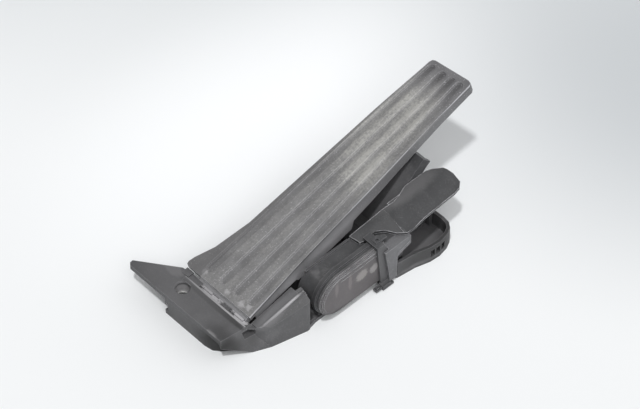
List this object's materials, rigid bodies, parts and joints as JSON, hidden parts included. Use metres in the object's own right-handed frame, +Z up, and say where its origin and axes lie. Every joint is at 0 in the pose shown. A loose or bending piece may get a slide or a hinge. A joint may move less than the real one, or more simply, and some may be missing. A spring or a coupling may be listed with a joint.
{
  "type": "accelerator pedal",
  "caption": "Floor-hinged accelerator pedal: long ribbed tapering treadle on a moulded base, with a lever, return springs, kick-down plunger and a position sensor with its connector at the side.",
  "frame": {"origin": "On the underside of the base, which rests on the floor or table. The hinge axis of the pad runs along X just behind the origin, at Y 1.5 mm and Z 17.5 mm.", "axes": "+X right as the driver sees it, +Y from the heel towards the tip of the pad, +Z up from the floor panel."},
  "size_m": [0.1242, 0.2342, 0.0849],
  "materials": {
    "base_plastic": "dark grey moulded plastic, scuffed",
    "pad_plastic": "dark grey moulded plastic, worn lighter and smoother where the shoe rubs",
    "lever_plastic": "black moulded plastic",
    "pale_plastic": "natural sliding plastic",
    "housing_plastic": "dark grey moulded plastic",
    "cover_plastic": "dark grey moulded plastic with a faint red tone",
    "connector_plastic": "grey moulded plastic",
    "shield_plastic": "dark grey moulded plastic, slightly smooth",
    "black_rubber": "black rubber",
    "seal_rubber": "soft seal rubber",
    "steel": "zinc plated steel",
    "spring_steel": "drawn spring wire",
    "magnet": "sintered magnet",
    "board": "lacquered circuit board",
    "chip_black": "moulded chip packages",
    "brass_pins": "plated contact pins"
  },
  "bodies": {
    "base": {"base": "base_plastic", "fixing_sleeve": "steel", "stop_buffer": "black_rubber", "shaft_bushes": "pale_plastic", "outer_return_spring": "spring_steel", "inner_return_spring": "spring_steel", "friction_ring": "pale_plastic", "kickdown_case": "lever_plastic", "kickdown_spring": "spring_steel", "kickdown_cap": "lever_plastic", "sensor_housing": "housing_plastic", "sensor_cover": "cover_plastic", "cover_seal": "black_rubber", "circuit_board": "board", "sensor_chips": "chip_black", "connector_shell": "connector_plastic", "connector_pins": "brass_pins", "connector_seal": "seal_rubber", "clip_band": "lever_plastic", "cable_shield": "shield_plastic", "housing_screws": "steel", "shield_screws": "steel"},
    "pad": {"pad": "pad_plastic"},
    "lever": {"lever": "lever_plastic", "slide_shoe": "pale_plastic", "rotor_magnet": "magnet"},
    "plunger": {"kickdown_plunger": "pale_plastic"}
  },
  "joints": [
    {"name": "pad_hinge", "type": "hinge", "parent": "base", "child": "pad", "pos_m": [0, 0.0015, 0.0175], "axis": [1, 0, 0], "range_deg": [-12, 0], "stiffness_Nm_per_rad": 6, "springref_deg": 6.88, "deforming": ["outer_return_spring", "inner_return_spring"]},
    {"name": "lever_pivot", "type": "hinge", "parent": "base", "child": "lever", "pos_m": [0, 0.101, 0.012], "axis": [1, 0, 0], "range_deg": [-31.6, 0]},
    {"name": "kickdown_slide", "type": "slide", "parent": "base", "child": "plunger", "axis": [0, 0, 1], "range_m": [-0.003, 0], "stiffness_N_per_m": 8000, "springref_m": 0.0008, "deforming": ["kickdown_spring"]}
  ],
  "couplings": [
    {"joint": "lever_pivot", "follows": "pad_hinge", "ratio": 2.6253}
  ]
}
